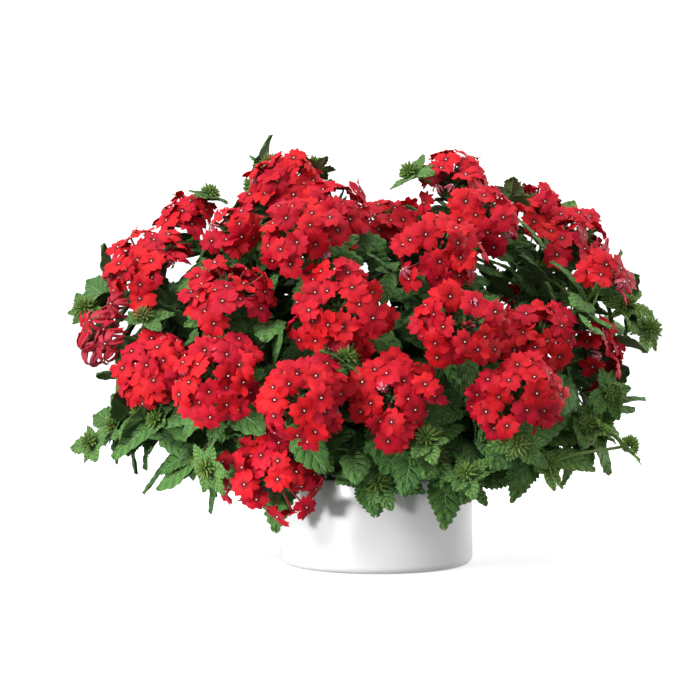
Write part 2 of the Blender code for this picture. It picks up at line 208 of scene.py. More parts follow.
def fitted(piece, finishes, slot, *nodes):
    """Fits a piece to the frame in place of its CAD nodes."""
    for finish in finishes:
        piece.data.materials.append(finish.material)
    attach(piece, "root")
    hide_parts(*nodes)
    return piece


def bend(radius, height, across, from_angle, to_angle, count=6):
    """Points of a rounded edge, as (radius, height), about a middle, between two angles."""
    turns = [math.radians(from_angle + (to_angle - from_angle) * i / count) for i in range(count + 1)]
    return [(radius + across * math.cos(a), height + across * math.sin(a)) for a in turns]


lip = 0.5 * POT_WALL
pot_profile = [
    (POT_FLAT, 0),
    *bend(POT_RADIUS - POT_FOOT, POT_FOOT, POT_FOOT, -90, 0),
    *[
        (POT_RADIUS, POT_FOOT + (POT_HEIGHT - lip - POT_FOOT) * i / WALL_RINGS)
        for i in range(1, WALL_RINGS)
    ],
    *bend(POT_RADIUS - lip, POT_HEIGHT - lip, lip, 0, 180, 8),
    (POT_RADIUS - POT_WALL, POT_FLOOR + POT_CORNER),
    (POT_RADIUS - POT_WALL - POT_CORNER, POT_FLOOR),
]
pot = turned("white_pot", pot_profile, POT_SIDES)
bpy.ops.object.shade_smooth_by_angle(angle=SMOOTH_UNDER)
glaze = Finish("satin_white_glaze", Coat_Weight=0.25, Coat_Roughness=0.2)
cloud = glaze.noise(18.0, 3.0)
speck = glaze.noise(900.0, 1.0)
glaze.wear(Base_Color=glaze.mix(cloud, GLAZE_WHITE, GLAZE_SHADE), Roughness=0.3 + 0.14 * cloud)
glaze.bump(cloud * 0.6 + speck * 0.05, 0.25 * MM, 0.3)
fitted(pot, [glaze], "white_glaze", "pot")

# The soil: dark peat with bark and white perlite grains, pressed in by hand to a low crown just
# under the pot's rim.

SOIL_TOP = 52 * MM
SOIL_CROWN = 3 * MM
FIT_GAP = 0.3 * MM
SOIL_RADIUS = POT_RADIUS - POT_WALL - FIT_GAP
SOIL_RINGS = 26
SOIL_SIDES = 96
LUMP_SIZE = 4.5 * MM
LUMP_HEIGHT = 2.6 * MM
CRUMBS = 500
PERLITE_SHARE = 0.1

soil_profile = [(0.6 * SOIL_RADIUS, POT_FLOOR + FIT_GAP), (SOIL_RADIUS, POT_FLOOR + FIT_GAP)]
for i in range(SOIL_RINGS):
    share = 1 - i / SOIL_RINGS
    crown = SOIL_CROWN * (1 - share**2)
    soil_profile.append((SOIL_RADIUS * share, SOIL_TOP + crown - 1 * MM))
soil = turned("potting_soil", soil_profile, SOIL_SIDES)
lumps = bpy.data.textures.new("soil lumps", "CLOUDS")
lumps.noise_scale = LUMP_SIZE
raised = soil.modifiers.new("Lumps", "DISPLACE")
raised.texture = lumps
raised.strength = LUMP_HEIGHT
raised.direction = "Z"
top = soil.vertex_groups.new(name="top")
for vertex in [v for v in soil.data.vertices if v.co.z > 0.5 * SOIL_TOP]:
    room = 1 - (vertex.co.xy.length / SOIL_RADIUS) ** 6
    top.add([vertex.index], max(0.0, room), "REPLACE")
raised.vertex_group = "top"
bpy.context.view_layer.objects.active = soil
bpy.ops.object.modifier_apply(modifier="Lumps")

bpy.ops.object.select_all(action="DESELECT")
bpy.ops.mesh.primitive_ico_sphere_add(subdivisions=1, radius=1)
grain = bpy.context.object
grain_points = np.array([v.co for v in grain.data.vertices])
grain_faces = [tuple(p.vertices) for p in grain.data.polygons]
bpy.data.objects.remove(grain)


class Pile:
    """Many small shapes that are gathered into one piece.

    Each shape brings its points, its faces, a place in the pattern and a tint for every point, and
    the number of its finish for every face.
    """

    def __init__(self):
        self.count = 0
        self.points, self.corners, self.sizes, self.pattern, self.tints, self.finishes = (
            [] for _ in range(6)
        )

    def add(self, points, shape, tint=(0, 0, 0), finish=0):
        """Adds points in the world that are joined as a shape's faces are."""
        corners, sizes, pattern, finishes = shape
        self.points.append(points)
        self.corners.append(corners + self.count)
        self.sizes.append(sizes)
        self.pattern.append(pattern[corners])
        self.tints.append(np.tile((*tint, 1.0), (len(points), 1)))
        self.finishes.append(finishes + finish)
        self.count += len(points)

    def made(self, name, sharp):
        """The piece, smooth but for edges over this angle in degrees."""
        mesh = bpy.data.meshes.new(name)
        points, corners = np.concatenate(self.points), np.concatenate(self.corners)
        sizes = np.concatenate(self.sizes)
        mesh.vertices.add(len(points))
        mesh.vertices.foreach_set("co", points.astype(np.float32).ravel())
        mesh.loops.add(len(corners))
        mesh.polygons.add(len(sizes))
        mesh.loops.foreach_set("vertex_index", corners.astype(np.int32))
        starts = np.concatenate([[0], np.cumsum(sizes)[:-1]]).astype(np.int32)
        mesh.polygons.foreach_set("loop_start", starts)
        mesh.polygons.foreach_set("material_index", np.concatenate(self.finishes).astype(np.int32))
        pattern = mesh.uv_layers.new(name="pattern")
        pattern.data.foreach_set("uv", np.concatenate(self.pattern).astype(np.float32).ravel())
        tint = mesh.attributes.new("tint", "FLOAT_COLOR", "POINT")
        tint.data.foreach_set("color", np.concatenate(self.tints).astype(np.float32).ravel())
        mesh.update(calc_edges=True)
        mesh.validate()
        mesh.shade_smooth()
        mesh.set_sharp_from_angle(angle=math.radians(sharp))
        piece = bpy.data.objects.new(name, mesh)
        bpy.context.scene.collection.objects.link(piece)
        return piece


def shape_of(faces, pattern, finishes=0):
    """(corners, sizes, pattern, finishes) of faces given as lists of point numbers."""
    corners = np.array([i for face in faces for i in face])
    sizes = np.array([len(face) for face in faces])
    finishes = np.broadcast_to(np.array(finishes), sizes.shape)
    return corners, sizes, np.asarray(pattern, float), finishes


dice = random.Random(5)
grain_shape = shape_of(grain_faces, np.zeros((len(grain_points), 2)))
crumbs = Pile()
soil_points = np.array([v.co for v in soil.data.vertices if v.co.z > 0.5 * SOIL_TOP])
for _ in range(CRUMBS):
    x, y, z = soil_points[dice.randrange(len(soil_points))]
    if math.hypot(x, y) > 0.95 * SOIL_RADIUS:
        continue
    perlite = dice.random() < PERLITE_SHARE
    size = dice.uniform(0.5, 1.1) * MM if perlite else dice.uniform(0.6, 1.9) * MM
    stretch = np.array([dice.uniform(0.7, 1.6), dice.uniform(0.6, 1.1), dice.uniform(0.4, 0.8)])
    turn = np.array(Matrix.Rotation(dice.uniform(0, 6.3), 3, "Z"))
    rough = np.array([[dice.uniform(0.8, 1.2)] for _ in grain_points])
    points = (grain_points * rough * stretch * size) @ turn.T + np.array([x, y, z])
    crumbs.add(points, grain_shape, (float(perlite), dice.random(), 0))
crumb_piece = crumbs.made("soil_crumbs", 30)
peat = Finish("damp_peat", Specular_IOR_Level=0.3)
grit = peat.noise(420.0, 6.0)
clod = peat.noise(90.0, 3.0)
dark = peat.mix(grit, (0.012, 0.008, 0.005), (0.075, 0.045, 0.026))
peaty = peat.layers(dark, (clod, (0.03, 0.02, 0.013)), (peat.tint("Red"), (0.55, 0.53, 0.48)))
peat.wear(Base_Color=peaty, Roughness=0.8 + 0.2 * grit)
peat.bump(grit + clod * 0.6, 1.2 * MM, 0.8)
bpy.ops.object.select_all(action="DESELECT")
soil.data.shade_smooth()
fitted(soil, [peat], "potting_soil", "soil")
fitted(crumb_piece, [peat], "potting_soil", "soil")

# The stems: square, hairy green stems that stand in the soil, arch out over the rim and fork below
# the flower heads. Each shoot, with its stems, leaves and green tips, has grown as one piece.

STEM_RADIUS = 1.7 * MM
ROOT_DEPTH = 12 * MM
STEM_STEP = 38 * MM
STEM_SIDES = 8
ARC_LEAVE, ARC_ARRIVE = 0.42, 0.38
ARC_CROWDED = 1.3
# Flower heads: the middle of the dome in millimetres, its radius, the way it faces in plan
# (0 the front, 90 the right) and its tilt above the horizon, in degrees
HEADS = {
    "head_01": (-65, -8, 259, 28, -25, 58),
    "head_02": (-26, -44, 240, 26, 10, 50),
    "head_03": (-50, -94, 221, 27, -10, 25),
    "head_04": (-129, 2, 237, 21, -60, 75),
    "head_05": (-95, -60, 225, 21, -25, 40),
    "head_06": (-154, -48, 204, 31, -50, 55),
    "head_07": (-94, -102, 187, 29, 0, 66),
    "head_08": (-23, -120, 174, 33, 0, 20),
    "head_09": (-182, -60, 157, 20, -75, 10),
    "head_10": (-146, -88, 135, 27, -30, 15),
    "head_11": (-102, -132, 132, 29, -10, 12),
    "head_12": (-47, -152, 121, 28, 0, 8),
    "head_13": (-68, -113, 69, 32, -10, -6),
    "head_14": (8, -130, 119, 30, 0, 5),
    "head_15": (8, -8, 232, 19, 0, 55),
    "head_16": (54, 0, 258, 28, 15, 55),
    "head_17": (74, -56, 234, 24, 30, 35),
    "head_18": (38, -97, 210, 28, 0, 20),
    "head_19": (50, -132, 164, 28, 5, 10),
    "head_20": (108, 27, 243, 21, -30, 60),
    "head_21": (138, -14, 219, 28, 55, 35),
    "head_22": (152, -54, 195, 17, 40, 40),
    "head_23": (103, -83, 158, 27, 15, 32),
    "head_24": (147, -50, 144, 22, 60, 20),
    "head_25": (88, -127, 121, 29, 10, 8),
    "head_26": (-78, 78, 224, 27, 150, 50),
    "head_27": (22, 84, 224, 28, 175, 45),
    "head_28": (-146, 56, 164, 27, -120, 30),
    "head_29": (-66, 130, 152, 28, 165, 20),
    "head_30": (116, 88, 168, 28, 130, 30),
    "head_31": (28, 140, 132, 28, 180, 12),
}
# Shoots: where each stands in the soil, and what its stems end in, which is a flower head or the
# place of a green tip, in millimetres
SHOOTS = {
    "shoot_01": ((-14, 2), ["head_01", "head_04", (-84, 22, 254)]),
    "shoot_02": ((-2, -8), ["head_02", "head_03"]),
    "shoot_03": ((-24, -8), ["head_05", "head_07"]),
    "shoot_04": ((-36, -2), ["head_06", "head_09", "head_10"]),
    "shoot_05": ((-30, -20), ["head_11", (-38, -98, 86)]),
    "shoot_06": ((-10, -22), ["head_08", "head_12"]),
    "shoot_07": ((8, -24), ["head_14", (36, -100, 82)]),
    "shoot_08": ((6, 2), ["head_16", "head_15"]),
    "shoot_09": ((16, -12), ["head_18", "head_17"]),
    "shoot_10": ((28, -22), ["head_19", "head_25"]),
    "shoot_11": ((22, 2), ["head_20", "head_21", (174, 8, 168)]),
    "shoot_12": ((38, -6), ["head_23", "head_24", "head_22"]),
    "shoot_13": ((-50, -12), [(-172, -48, 96), (-114, -78, 78), (-142, -76, 102)]),
    "shoot_14": ((50, -16), [(148, -48, 98), (108, -84, 74), (132, -26, 84)]),
    "shoot_15": ((-10, 18), ["head_26", "head_29"]),
    "shoot_16": ((10, 18), ["head_27", "head_31"]),
    "shoot_17": ((-32, 12), ["head_28", (-144, 46, 96)]),
    "shoot_18": ((34, 12), ["head_30", (152, 44, 110)]),
    "shoot_19": ((-36, -36), ["head_13"]),
    "shoot_20": ((-12, -44), [(0, -96, 64), (26, -112, 90)]),
    "shoot_21": ((18, -44), [(60, -94, 64), (88, -104, 90)]),
    "shoot_22": ((-6, 44), [(-16, 98, 74)]),
    "shoot_23": ((-50, 8), [(-184, -6, 174)]),
}
DOME_RISE = 0.45
CORE_LOW = -0.08
BRANCH_FROM, BRANCH_STEP = 0.42, 0.14


def head_frame(name):
    """(centre of the dome's sphere, axis, radius) of a flower head."""
    x, y, z, radius, turn, tilt = HEADS[name]
    turn, tilt = math.radians(turn), math.radians(tilt)
    axis = Vector(
        (math.sin(turn) * math.cos(tilt), -math.cos(turn) * math.cos(tilt), math.sin(tilt))
    )
    return Vector((x, y, z)) * MM - axis * DOME_RISE * radius * MM, axis, radius * MM


def arc(start, leave, end, arrive, step):
    """Points on the curve that leaves start and arrives at end in these directions."""
    reach = (end - start).length
    handles = start, start + leave * ARC_LEAVE * reach, end - arrive * ARC_ARRIVE * reach, end
    count = max(3, round(1.1 * reach / step) + 1)
    points = []
    for i in range(count):
        t = 1 - (1 - i / (count - 1)) ** ARC_CROWDED
        a, b, c, d = (1 - t) ** 3, 3 * t * (1 - t) ** 2, 3 * t * t * (1 - t), t**3
        points.append(handles[0] * a + handles[1] * b + handles[2] * c + handles[3] * d)
    return points


def stem_end(tip):
    """(end point, direction) of a stem that carries this flower head, or ends in a bud here."""
    if isinstance(tip, str):
        centre, axis, radius = head_frame(tip)
        return centre + axis * (CORE_LOW * radius - 2 * FIT_GAP), axis
    end = Vector(tip) * MM
    outward = Vector((end.x, end.y, 0)).normalized()
    return end, (outward - 0.25 * UP).normalized()


def plan_stems():
    """{shoot: its stems, each a list of points}, the first in the soil and the others from it."""
    plan = {}
    for name, ((x, y), tips) in SHOOTS.items():
        root = Vector((x, y, 0)) * MM + UP * (SOIL_TOP - ROOT_DEPTH)
        collar = Vector((x, y, 0)) * MM + UP * (SOIL_TOP + SOIL_CROWN + 1 * MM)
        end, arrive = stem_end(tips[0])
        leave = (UP + 0.3 * Vector((x, y, 0)).normalized()).normalized()
        fine = arc(collar, leave, end, arrive, STEM_STEP / 8)
        stems = [[root, *arc(collar, leave, end, arrive, STEM_STEP)]]
        for i, tip in enumerate(tips[1:]):
            at = round(len(fine) * (BRANCH_FROM + BRANCH_STEP * i))
            start = fine[at]
            rising = (fine[at + 1] - fine[at - 1]).normalized()
            end, arrive = stem_end(tip)
            leave = (rising + (end - start).normalized()).normalized()
            stems.append(arc(start, leave, end, arrive, STEM_STEP))
        plan[name] = stems
    return plan


def dense(points, gap=2.5 * MM):
    """Points no more than a gap apart along the straight runs between these."""
    found = []
    for a, b in zip(points, points[1:]):
        count = max(1, math.ceil((b - a).length / gap))
        found += [a.lerp(b, i / count) for i in range(count)]
    return [*found, points[-1]]


def ring_faces(count, sides):
    """Faces that join a row of rings into a tube with closed ends."""
    faces = [
        (i * sides + k, i * sides + (k + 1) % sides, (i + 1) * sides + (k + 1) % sides,
         (i + 1) * sides + k)
        for i in range(count - 1)
        for k in range(sides)
    ]
    last = (count - 1) * sides
    return [*faces, tuple(range(sides))[::-1], tuple(range(last, last + sides))]


def tube(path, radii, sides, square=0.0):
    """(points, shape) of a tube with closed ends, more or less square across."""
    across = (path[1] - path[0]).orthogonal().normalized()
    rings, count = [], len(path)
    for i, (middle, radius) in enumerate(zip(path, radii)):
        ahead = (path[min(i + 1, count - 1)] - path[max(i - 1, 0)]).normalized()
        across = (across - ahead * across.dot(ahead)).normalized()
        beside = ahead.cross(across)
        for k in range(sides):
            turn = 2 * math.pi * k / sides
            out = radius * (1 + square * math.cos(4 * turn))
            rings.append(middle + (across * math.cos(turn) + beside * math.sin(turn)) * out)
    pattern = [(i / (count - 1), k / sides) for i in range(count) for k in range(sides)]
    return np.array(rings), shape_of(ring_faces(count, sides), pattern)


def spikes(roots, ways, length, width):
    """(points, shape) of fine hairs, each a three-sided spike."""
    points, faces = [], []
    for root, way in zip(roots, ways):
        side = way.orthogonal().normalized() * width
        other = way.cross(side)
        first = len(points)
        points += [root + side, root - 0.5 * side + other, root - 0.5 * side - other]
        points.append(root + way * length)
        faces += [(first, first + 1, first + 3), (first + 1, first + 2, first + 3)]
        faces += [(first + 2, first, first + 3), (first + 2, first + 1, first)]
    return np.array(points), shape_of(faces, np.zeros((len(points), 2)))


STEM_GREEN, BLADE, UNDERSIDE, FUZZ = range(4)
HAIR_LENGTH = 1.1 * MM
HAIR_WIDTH = 0.07 * MM
HAIR_GAP = 1.3 * MM
HAIRLESS = 5
STEM_TAPER = 0.25
STEM_SQUARE = 0.09


def add_stem(pile, points, thick, dice):
    """A square stem along these points, with fine hairs on all but the first fifth of it."""
    smooth = smoothed(points)
    count = len(smooth) - 1
    radii = [STEM_RADIUS * thick * (1 - STEM_TAPER * i / count) * 0.9 for i in range(count + 1)]
    tone = (dice.random(), dice.random(), 0)
    pile.add(*tube(smooth, radii, STEM_SIDES, STEM_SQUARE), tone, STEM_GREEN)
    roots, ways = [], []
    for a, b in zip(smooth[count // HAIRLESS :], smooth[count // HAIRLESS + 1 :]):
        ahead = (b - a).normalized()
        for i in range(max(1, round((b - a).length / HAIR_GAP))):
            spin = Matrix.Rotation(dice.uniform(0, 2 * math.pi), 3, ahead)
            out = spin @ ahead.orthogonal().normalized()
            roots.append(a.lerp(b, dice.random()) + out * STEM_RADIUS * 0.6 * thick)
            ways.append((out + ahead * dice.uniform(-0.2, 0.5)).normalized())
    pile.add(*spikes(roots, ways, HAIR_LENGTH, HAIR_WIDTH), (0, 0, 0), FUZZ)


def smoothed(points, gap=4 * MM):
    """A smooth line through these points, with points about a gap apart."""
    ends = [2 * points[0] - points[1], *points, 2 * points[-1] - points[-2]]
    found = []
    for i in range(1, len(points)):
        a, b, c, d = ends[i - 1 : i + 3]
        count = max(1, round((c - b).length / gap))
        for k in range(count):
            t = k / count
            found.append(
                0.5
                * (2 * b + (c - a) * t + (2 * a - 5 * b + 4 * c - d) * t**2
                   + (3 * b - a - 3 * c + d) * t**3)
            )
    return [*found, points[-1]]


# The leaves: opposite pairs of hairy, deeply veined blades with coarse rounded teeth, soft and a
# little quilted between their sunken veins. Young ones near the tips are small and yellower green.

LEAF_LENGTH = 46 * MM
FIRST_LEAF = 10 * MM
LEAF_SPACING = 23 * MM
CLEAR_OF_LEAF = 5.2 * MM
CLEAR_OF_OWN = 3.4 * MM
CLEAR_OF_STEM = 4.6 * MM
CLEAR_OF_HEAD = 2.0 * MM
CLEAR_OF_POT = 3.0 * MM
LOWEST_LEAF = 12 * MM
TRIES = [(swung, shorter) for shorter in (1, 0.8, 0.62) for swung in (0, 0.5, -0.5, 1, -1)]
TEETH, SMALL_TEETH = 11, 5
VEINS = 6
VEIN_SLANT = 0.17
TOOTH_RISE = 0.72
LEAF_THICKNESS = 0.5 * MM
# The dark middle of the plant, where no leaf stays green: half its width, depth and height, and the
# height of its middle, in millimetres. Then the same for the mass that the side twigs fill.
SHADED = (100, 74, 92), 130
SHADED_OVER = 90
FILLED = (165, 135, 105), 128
# No small leaf hangs before the pot: one under this height, inside this reach, in front of this
# depth and right of this side is left out, in millimetres
POT_SEEN = 66, 150, 40, -90


def leaf_half_width(t):
    """Half of a leaf's width as a share of its length, at the share t of the way to its tip."""
    return 0.29 * math.sin(math.pi * max(0.0, min(1.0, t)) ** 0.85) ** 0.9


def blade_points(place, length, arch, fold, rows=7):
    """Points spread over a leaf's blade, in the world, for telling whether it lies clear."""
    points = []
    for i in range(1, rows + 1):
        t = 0.12 + 0.88 * i / rows
        for across in (-0.9, -0.45, 0, 0.45, 0.9):
            x, y = t * length, across * leaf_half_width(t) * length
            drop = -arch * length * (x / length) ** 2 + fold * abs(y)
            points.append(place @ Vector((x, y, drop)))
    return np.array(points)


def leaf_place(root, out, face):
    """The matrix that lays a leaf along out from root, with its upper side towards face."""
    out = out.normalized()
    face = (face - out * face.dot(out)).normalized()
    side = face.cross(out)
    return Matrix.Translation(root) @ Matrix((out, side, face)).transposed().to_4x4()


def leaf_turned(root, rising, swing):
    """Where a leaf lies that leaves the stem at this swing round it."""
    across = rising.cross(UP)
    across = across.normalized() if across.length > 1e-3 else Vector((1, 0, 0))
    out = Matrix.Rotation(swing, 3, rising) @ across
    outward = Vector((root.x, root.y, 0)).normalized()
    out = out * 0.85 + rising * 0.35 + outward * 0.2
    return leaf_place(root, out, UP * 0.9 + outward * 0.7 + rising * 0.3)


def in_mass(place, mass):
    """Whether a place in millimetres lies in an egg-shaped part of the plant."""
    (x, y, z), ((wide, deep, high), middle) = place, mass
    return (x / wide) ** 2 + (y / deep) ** 2 + ((z - middle) / high) ** 2 < 1


def in_shade(points):
    """Whether a leaf lies in the dark middle of the plant."""
    middle = points.mean(axis=0) / MM
    return in_mass(middle, SHADED) and middle[2] > SHADED_OVER


def near(points, others, reach):
    """Whether any of these points is within reach of any of the others."""
    if len(others) == 0:
        return False
    gaps = points[:, None, :] - others[None, :, :]
    return bool(((gaps**2).sum(axis=2) < reach**2).any())


def in_head(points, spare):
    """Whether any of these points is in a flower head, or within the spare room round it."""
    for centre, axis, radius in head_frames:
        from_centre = points - centre
        height = from_centre @ axis
        close = (from_centre**2).sum(axis=1) < (radius + spare) ** 2
        if bool((close & (height > -0.15 * radius - spare)).any()):
            return True
    return False


def in_pot(points, spare):
    """Whether any of these points is in the pot or over its soil, or within the spare room."""
    radius = np.hypot(points[:, 0], points[:, 1])
    low = points[:, 2] < POT_HEIGHT + spare
    return bool(((radius < POT_RADIUS + spare) & low).any())


def leaf_starts(arcs, tips, dice):
    """(root, rising direction, swing, length) of each leaf that a shoot's stems would carry."""
    for points, tip in zip(arcs, tips):
        pairs = 4 if not isinstance(tip, str) else 2 if points is arcs[0] else 1
        line = dense(points, 1 * MM)
        for pair in range(pairs):
            back = round((FIRST_LEAF + LEAF_SPACING * pair) / MM)
            if back > 0.62 * len(line):
                break
            at = len(line) - 1 - back
            rising = (line[at + 1] - line[at - 1]).normalized()
            for side in (0, 1):
                swing = math.pi * side + math.pi / 2 * (pair % 2) + dice.uniform(-0.3, 0.3)
                length = LEAF_LENGTH * dice.uniform(0.92, 1.1) * (0.72 + 0.45 * pair / pairs)
                yield line[at], rising, swing, length


def plan_leaves(stems):
    """{shoot: its leaves, each (place, length, arch, fold)}, as they stand in the frame."""
    dice = random.Random(7)
    leaf_points = {name: np.zeros((0, 3)) for name in stems}
    plan = {name: [] for name in stems}
    for name, arcs in stems.items():
        stems_near = np.concatenate([p for other, p in stem_points.items() if other != name])
        leaves_near = np.concatenate([p for other, p in leaf_points.items() if other != name])

        def clear(blade):
            return (
                blade[:, 2].min() > LOWEST_LEAF
                and not in_pot(blade, CLEAR_OF_POT)
                and not in_shade(blade)
                and not in_head(blade, CLEAR_OF_HEAD)
                and not near(blade, stems_near, CLEAR_OF_STEM)
                and not near(blade, leaves_near, CLEAR_OF_LEAF)
                and not near(blade, leaf_points[name], CLEAR_OF_OWN)
            )

        for root, rising, swing, length in leaf_starts(arcs, SHOOTS[name][1], dice):
            arch, fold = dice.uniform(0.1, 0.34), dice.uniform(0.1, 0.3)
            for swung, shorter in TRIES:
                place = leaf_turned(root, rising, swing + swung)
                size = length * shorter
                blade = blade_points(place, size, arch, fold)
                if clear(blade):
                    plan[name].append((place, size, arch, fold))
                    leaf_points[name] = np.concatenate([leaf_points[name], blade])
                    break
    return plan


FILL_SPACING = 12.5 * MM
FILL_FROM = 0.12
FILL_TRIES = [(swung, shorter) for swung in (0, 1.3, 2.6) for shorter in (1, 0.8)]
TWIG_SPACING = 17 * MM
TWIG_TRIES = 5
TWIG_RADIUS = 0.8 * MM
TWIG_SIDES = 5
TWIG_SWINGS = 0, 2.1, 4.2
CLEAR_OF_FILL = 2.2 * MM


def room_of(leaf):
    """(root, length, points) of the room that a leaf, (place, length, arch, fold), takes."""
    place, length, arch, fold = leaf
    return np.array(place.translation), length, blade_points(place, length, arch, fold, 4)


def fits(leaf, taken):
    """Whether a small leaf finds room, which is then added to what is taken."""
    root, length, blade = room = room_of(leaf)
    if blade[:, 2].min() < LOWEST_LEAF or in_pot(blade, 2 * MM) or in_head(blade, 0):
        return False
    x, y, z = blade.T / MM
    low, wide, front, left = POT_SEEN
    if bool(((z < low) & (np.hypot(x, y) < wide) & (y < front) & (x > left)).any()):
        return False
    for other, other_length, points in taken:
        close = ((root - other) ** 2).sum() < (length + other_length) ** 2
        if close and near(blade, points, CLEAR_OF_FILL):
            return False
    taken.append(room)
    return True


def bowing(dice):
    """(arch, fold) of a small leaf."""
    return dice.uniform(0.05, 0.4), dice.uniform(0.05, 0.35)


def plan_fill(stems, taken):
    """{shoot: small leaves between the others, that thicken the plant where it has room}."""
    dice = random.Random(11)
    plan = {name: [] for name in stems}
    for name, points in [(name, points) for name, arcs in stems.items() for points in arcs]:
        line = dense(points, 1 * MM)
        steps = int(len(line) * (1 - FILL_FROM) * MM / FILL_SPACING)
        for half_step in range(2, 2 * steps):
            at = len(line) - 1 - round(FILL_SPACING * (half_step // 2 - 0.45) / MM)
            rising = (line[at + 1] - line[at - 1]).normalized()
            spin = dice.uniform(0, 2 * math.pi)
            length = LEAF_LENGTH * dice.uniform(0.55, 0.9)
            bow = bowing(dice)
            for swung, shorter in FILL_TRIES:
                leaf = leaf_turned(line[at], rising, spin + swung), length * shorter, *bow
                if fits(leaf, taken):
                    plan[name].append(leaf)
                    break
    return plan


def plan_twigs(stems, taken):
    """{shoot: its side twigs, each (points, leaves)}, that fill the plant's leafy inside."""
    dice = random.Random(31)
    plan = {name: [] for name in stems}
    for name, points in [(name, points) for name, arcs in stems.items() for points in arcs]:
        line = dense(points, 1 * MM)
        for step in range(1, int(len(line) * MM / TWIG_SPACING) + 1):
            at = min(len(line) - 2, round(step * TWIG_SPACING / MM))
            rising = (line[at + 1] - line[at - 1]).normalized()
            for _ in range(TWIG_TRIES):
                way = Vector([dice.uniform(-1, 1) for _ in range(3)]) + 0.5 * rising
                way = (way - 0.3 * UP).normalized()
                end = line[at] + way * dice.uniform(12, 34) * MM
                path = arc(line[at], rising, end, way, 6 * MM)
                rows = twig_leaves(path, way, taken, dice)
                if rows:
                    plan[name].append((path, rows))
                    break
    return plan


def twig_leaves(path, way, taken, dice):
    """The leaves that find room round the end of a twig, if the twig itself does."""
    end = path[-1]
    if not in_mass(end / MM, FILLED) or in_pot(np.array([end]), 4 * MM):
        return []
    if in_head(np.array(path), 1 * MM):
        return []
    rows = []
    for swing in TWIG_SWINGS:
        length = LEAF_LENGTH * dice.uniform(0.5, 0.85)
        bow = bowing(dice)
        leaf = leaf_turned(end, way, swing + dice.uniform(-0.4, 0.4)), length, *bow
        if fits(leaf, taken):
            rows.append(leaf)
    return rows


def leaf_blank(rows, columns, teeth, seed):
    """(points, shape) of a leaf of length 1: a grid, drawn out to a toothed and quilted blade."""
    dice = random.Random(seed)
    wave, lift, twist = dice.uniform(0, 6), dice.uniform(0.01, 0.03), dice.uniform(-0.12, 0.12)
    bpy.ops.mesh.primitive_grid_add(x_subdivisions=rows, y_subdivisions=columns, size=2)
    blank = bpy.context.object
    blank.data.uv_layers[0].name = "pattern"
    for vertex in blank.data.vertices:
        t, across = (vertex.co.x + 1) / 2, vertex.co.y
        beat = (t * teeth) % 1
        tooth = math.sin(math.pi * (beat / TOOTH_RISE) / 2)
        tooth = tooth if beat < TOOTH_RISE else (1 - beat) / (1 - TOOTH_RISE)
        width = leaf_half_width(0.962 * t + 0.012)
        edge = abs(across) ** 4 * (0.05 * tooth - 0.02) * min(1, 6 * t) * min(1, 8 * (1.06 - t))
        quilt = abs(math.sin(math.pi * VEINS * (t - VEIN_SLANT * abs(across)))) ** 0.6
        swell = quilt * math.sin(math.pi * min(1.0, abs(across) * 1.05)) * 0.03
        ripple = lift * abs(across) ** 2 * math.sin(9 * t + wave + (1.5 if across > 0 else 0))
        y = math.copysign(width * abs(across) + edge, across)
        x = t + 0.075 * abs(across) * math.sin(math.pi * t) * (1 - 0.4 * t)
        groove = -0.02 * math.exp(-((across / 0.12) ** 2)) * (1 - t)
        curl = -0.05 * max(0.0, abs(across) - 0.6) / 0.4
        vertex.co = (x, y, swell + ripple + groove + curl + twist * y * t)
    thick = blank.modifiers.new("Thickness", "SOLIDIFY")
    thick.thickness = LEAF_THICKNESS / (0.8 * LEAF_LENGTH)
    thick.offset = -1
    thick.material_offset = UNDERSIDE - BLADE
    for number in range(2):
        blank.data.materials.append(bpy.data.materials.new(f"leaf {number}"))
    bpy.ops.object.modifier_apply(modifier="Thickness")
    return taken_from(blank)


def taken_from(blank):
    """(points, shape) of an object that was modelled as a pattern for many, which is removed."""
    mesh = blank.data
    points = np.array([v.co for v in mesh.vertices])
    pattern = np.zeros((len(points), 2))
    for loop, spot in zip(mesh.loops, mesh.uv_layers[0].data):
        pattern[loop.vertex_index] = spot.uv
    faces = [tuple(p.vertices) for p in mesh.polygons]
    finishes = [p.material_index for p in mesh.polygons]
    for material in list(mesh.materials):
        if material.users <= 1:
            bpy.data.materials.remove(material)
    bpy.data.objects.remove(blank)
    return points, shape_of(faces, pattern, finishes)


def add_leaf(pile, blank, leaf, tint):
    """A leaf, (place, length, arch, fold), that is bowed along and folded up from its rib."""
    (points, shape), (place, length, arch, fold) = blank, leaf
    points = points * length
    points[:, 2] += -arch * points[:, 0] ** 2 / length + fold * np.abs(points[:, 1])
    turn = np.array(place.to_3x3())
    pile.add(points @ turn.T + np.array(place.translation), shape, tint, BLADE)


head_frames = [
    (np.array(centre), np.array(axis), radius)
    for centre, axis, radius in map(head_frame, HEADS)
]
bpy.ops.object.select_all(action="DESELECT")
large_blanks = [leaf_blank(33, 4, TEETH, seed) for seed in (1, 2, 3)]
small_blanks = [leaf_blank(15, 4, SMALL_TEETH, seed) for seed in (4, 5, 6)]
frame_stems = plan_stems()
stem_points = {
    name: np.array([p for points in arcs for p in dense(points)])
    for name, arcs in frame_stems.items()
}
leaves = plan_leaves(frame_stems)
taken = [room_of(leaf) for rows in leaves.values() for leaf in rows]
fill = plan_fill(frame_stems, taken)
twigs = plan_twigs(frame_stems, taken)

# The green tips: a tight cluster of hairy, pointed buds at the end of a stem that isn't in flower
# yet, in a ruff of small new leaves.

BUD_RADIUS = 7.5 * MM
BUDS = 38
BUD_WIDTH = 2.0 * MM
BUDS_LEAN = 95
GOLDEN_TURN = 2.39996
RUFF = 6
BRIGHT_SHOOTS = {"shoot_11": 0.75, "shoot_14": 0.75}
